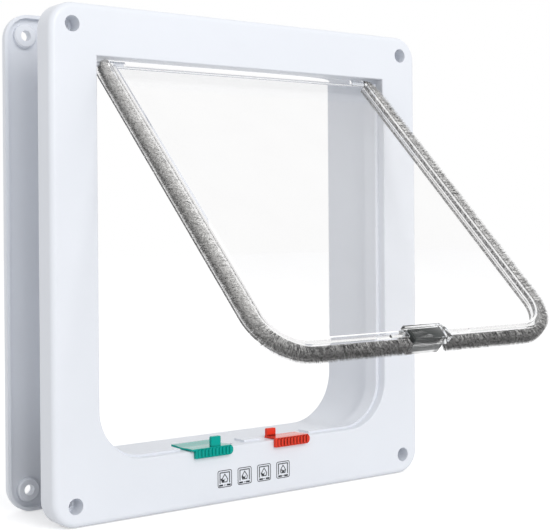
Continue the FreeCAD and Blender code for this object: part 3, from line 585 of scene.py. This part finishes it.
def icon(name, centre, figure_x, figure_size, bars):
    """One setting of the flap: a frame, a house, an animal and the two sliders' places."""
    bm = bmesh.new()
    half = ICON_SIZE / 2
    print_shape(bm, stroke(rounded(half - 0.2, half - 0.2, 0.9), 0.36), centre)
    inner = [(-3.0, -2.3), (-3.0, 3.2), (3.0, 3.2), (3.0, -2.3)]
    print_shape(bm, stroke(inner, 0.5, closed=False), centre)
    house = [(-1.35, -1.7), (-1.75, -0.3), (-0.9, 1.1), (0.0, 2.3), (0.9, 1.1), (1.75, -0.3), (1.35, -1.7)]
    print_shape(bm, stroke(house, 0.42), centre)
    print_shape(bm, small_animal(figure_x, -0.85, figure_size, -1), centre)
    for left, right in bars:
        print_shape(bm, [[(left, -3.75), (right, -3.75), (right, -2.85), (left, -2.85)]], centre)
    print_shape(bm, [[(-0.5, -3.4), (0.5, -3.4), (0.5, -3.1), (-0.5, -3.1)]], centre)
    mesh = bpy.data.meshes.new(name)
    bmesh.ops.recalc_face_normals(bm, faces=bm.faces)
    bm.to_mesh(mesh)
    bm.free()
    mesh.materials.append(PRINT)
    made = bpy.data.objects.new(name, mesh)
    SCENE.collection.objects.link(made)
    thick = made.modifiers.new("ink", "SOLIDIFY")
    thick.thickness = INK_THICK
    thick.offset = 0.0
    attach(made, "front")


icon("icon_both_ways", -19.4, -1.2, 1.05, [(-3.6, -1.2), (1.2, 3.6)])
icon("icon_in_only", -6.8, -0.6, 0.95, [(-3.6, -1.2), (0.8, 3.2)])
icon("icon_out_only", 5.8, -0.8, 0.95, [(-3.2, -0.8), (1.2, 3.6)])
icon("icon_shut", 18.4, 0.15, 0.95, [(-3.2, -0.8), (0.8, 3.2)])


# Camera, matched to the photograph's view, perspective and slight roll.

CAMERA_AT = Vector((-0.391366, -0.545339, 0.01972))
CAMERA_YAW = 0.651247
CAMERA_ROLL = 0.007836


def camera():
    data = bpy.data.cameras.new("camera")
    data.sensor_width = 36.0
    data.lens = 82.574
    data.shift_y = -0.0786
    data.clip_start = 0.01
    data.clip_end = 20.0
    view = bpy.data.objects.new("camera", data)
    SCENE.collection.objects.link(view)
    ahead = Vector((math.sin(CAMERA_YAW), math.cos(CAMERA_YAW), 0))
    right = Vector((math.cos(CAMERA_YAW), -math.sin(CAMERA_YAW), 0))
    up = Vector((0, 0, 1))
    tipped_right = right * math.cos(CAMERA_ROLL) - up * math.sin(CAMERA_ROLL)
    tipped_up = right * math.sin(CAMERA_ROLL) + up * math.cos(CAMERA_ROLL)
    turn = Matrix((tipped_right, tipped_up, -ahead)).transposed()
    view.matrix_world = Matrix.Translation(CAMERA_AT) @ turn.to_4x4()
    SCENE.camera = view


camera()


# Floor, surroundings and lamps. The surroundings are white to the camera and through
# the clear plastic, and light the part softly.

FLOOR_DROP = 0.2 * MM
FLOOR_REACH = 4.0
FLOOR_GLOW = 0.45
SOFT_LIGHT = 0.7


def seen_directly(tree):
    """1 for rays from the camera, off gloss or through clear plastic, 0 for the rest."""
    path = tree.nodes.new("ShaderNodeLightPath")
    total = path.outputs["Is Camera Ray"]
    for name in ("Is Glossy Ray", "Is Transmission Ray"):
        most = tree.nodes.new("ShaderNodeMath")
        most.operation = "MAXIMUM"
        tree.links.new(total, most.inputs[0])
        tree.links.new(path.outputs[name], most.inputs[1])
        total = most.outputs[0]
    return total


def floor():
    """A pale floor just under the part, which glows a little so that it fades into the white."""
    material = bpy.data.materials.new("pale_floor")
    material.use_nodes = True
    tree = material.node_tree
    tree.nodes.clear()
    out = tree.nodes.new("ShaderNodeOutputMaterial")
    matt = tree.nodes.new("ShaderNodeBsdfDiffuse")
    matt.inputs["Color"].default_value = (0.8, 0.8, 0.8, 1)
    glow = tree.nodes.new("ShaderNodeEmission")
    glow.inputs["Color"].default_value = (1, 1, 1, 1)
    level = tree.nodes.new("ShaderNodeMath")
    level.operation = "MULTIPLY"
    level.inputs[1].default_value = FLOOR_GLOW
    tree.links.new(seen_directly(tree), level.inputs[0])
    tree.links.new(level.outputs[0], glow.inputs["Strength"])
    both = tree.nodes.new("ShaderNodeAddShader")
    tree.links.new(matt.outputs[0], both.inputs[0])
    tree.links.new(glow.outputs[0], both.inputs[1])
    tree.links.new(both.outputs[0], out.inputs["Surface"])
    low = CAD_BOX[0].z - FLOOR_DROP
    corners = [(x * FLOOR_REACH, y * FLOOR_REACH, low) for x, y in ((-1, -1), (1, -1), (1, 1), (-1, 1))]
    ground = piece("floor", corners, [(0, 1, 2, 3)], material)


def surroundings():
    world = bpy.data.worlds.new("surroundings")
    SCENE.world = world
    world.use_nodes = True
    tree = world.node_tree
    tree.nodes.clear()
    out = tree.nodes.new("ShaderNodeOutputWorld")
    plain = tree.nodes.new("ShaderNodeBackground")
    plain.inputs["Color"].default_value = (1, 1, 1, 1)
    plain.inputs["Strength"].default_value = 1.0
    soft = tree.nodes.new("ShaderNodeBackground")
    soft.inputs["Color"].default_value = (0.985, 0.99, 1.0, 1)
    soft.inputs["Strength"].default_value = SOFT_LIGHT
    choose = tree.nodes.new("ShaderNodeMixShader")
    tree.links.new(seen_directly(tree), choose.inputs[0])
    tree.links.new(soft.outputs[0], choose.inputs[1])
    tree.links.new(plain.outputs[0], choose.inputs[2])
    tree.links.new(choose.outputs[0], out.inputs["Surface"])


def lamp(name, place, size, power):
    """A square lamp aimed at the frame's origin."""
    data = bpy.data.lights.new(name, "AREA")
    data.shape = "SQUARE"
    data.size = size
    data.energy = power
    made = bpy.data.objects.new(name, data)
    SCENE.collection.objects.link(made)
    made.location = place
    made.rotation_mode = "QUATERNION"
    made.rotation_quaternion = (-Vector(place)).to_track_quat("-Z", "Y")


floor()
surroundings()
lamp("key", place=(-0.2, -2.9, 1.5), size=1.8, power=46)
lamp("fill", place=(-1.6, -0.6, 0.9), size=1.0, power=0.8)
